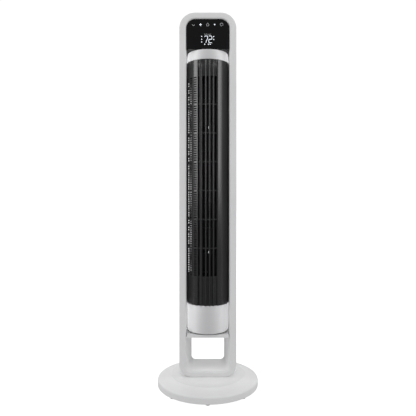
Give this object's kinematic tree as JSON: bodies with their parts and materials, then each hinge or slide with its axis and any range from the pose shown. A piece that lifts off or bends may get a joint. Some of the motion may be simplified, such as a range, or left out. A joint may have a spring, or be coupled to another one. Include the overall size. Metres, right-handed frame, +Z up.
{
  "type": "tower fan",
  "caption": "Free-standing tower fan: louvred column with a cross-flow impeller, swinging in a rounded loop frame with a carrying window on a round base.",
  "frame": {"origin": "on the floor below the column's axis, at the middle of the base", "axes": "+Z up, -Y towards the front with the display and the louvres, +X to the right seen from the front"},
  "size_m": [0.277, 0.2775, 1.016],
  "materials": {
    "white_plastic": "satin",
    "silver_trim": "satin silver paint",
    "black_plastic": "gloss",
    "black_matte": "matte",
    "panel_lens": "high gloss",
    "icon_print": "printed",
    "display": "light guide",
    "rubber": "matte",
    "steel": "plain",
    "cast_weight": "primed",
    "bronze": "sintered",
    "acetal": "natural",
    "circuit_board": "solder mask",
    "spring_wire": "plated",
    "grey_plastic": "matte",
    "impeller": "satin"
  },
  "bodies": {
    "stand": {"base_shell": "white_plastic", "base_bottom_plate": "white_plastic", "base_weight": "cast_weight", "rubber_feet": "rubber", "base_plate_screws": "steel", "frame_lock_screws": "steel", "frame_front_bezel": "white_plastic", "frame_rear_shell": "white_plastic", "frame_screws": "steel", "window_liner": "white_plastic", "pivot_shelf": "white_plastic", "shelf_cover": "white_plastic", "shelf_cover_screws": "steel", "lower_pivot_bush": "acetal", "thrust_washer": "acetal", "swing_motor": "steel", "swing_motor_screws": "steel", "power_board": "circuit_board", "cord_gland": "black_matte", "wiring_loom": "black_matte", "top_housing": "black_matte", "top_rear_cover": "white_plastic", "top_cover_screws": "steel", "control_panel_lens": "panel_lens", "touch_icons": "icon_print", "display_module": "display", "control_board": "circuit_board", "touch_springs": "spring_wire", "ir_receiver": "black_matte", "buzzer": "black_matte", "top_pivot_bush": "acetal"},
    "column": {"column_front_panel": "black_plastic", "column_intake_grille": "black_plastic", "top_collar": "silver_trim", "bottom_skirt": "silver_trim", "air_duct_scroll": "black_matte", "air_duct_tongue": "black_matte", "fan_motor": "steel", "motor_mount_plate": "grey_plastic", "motor_mount_rubbers": "rubber", "motor_mount_screws": "steel", "top_bearing_plate": "grey_plastic", "top_bearing_rubber": "rubber", "top_bearing_bush": "bronze", "column_top_pivot": "acetal", "column_base_plate": "grey_plastic", "column_spindle": "steel", "swing_gear": "acetal", "column_screws": "steel"},
    "impeller": {"impeller_wheel": "impeller", "impeller_hub": "black_matte", "impeller_top_pin": "steel", "motor_shaft": "steel", "hub_set_screw": "steel"},
    "swing_pinion": {"swing_pinion": "acetal", "swing_motor_shaft": "steel"}
  },
  "joints": [
    {"name": "column_swing", "type": "hinge", "parent": "stand", "child": "column", "pos_m": [0, 0, 0.1515], "axis": [0, 0, 1], "range_deg": [-40, 40]},
    {"name": "impeller_spin", "type": "hinge", "parent": "column", "child": "impeller", "pos_m": [0, 0, 0.298], "axis": [0, 0, 1], "continuous": true},
    {"name": "pinion_spin", "type": "hinge", "parent": "stand", "child": "swing_pinion", "pos_m": [0, 0.0375, 0.177], "axis": [0, 0, 1], "range_deg": [-161, 161]}
  ],
  "couplings": [
    {"joint": "pinion_spin", "follows": "column_swing", "ratio": -4}
  ]
}
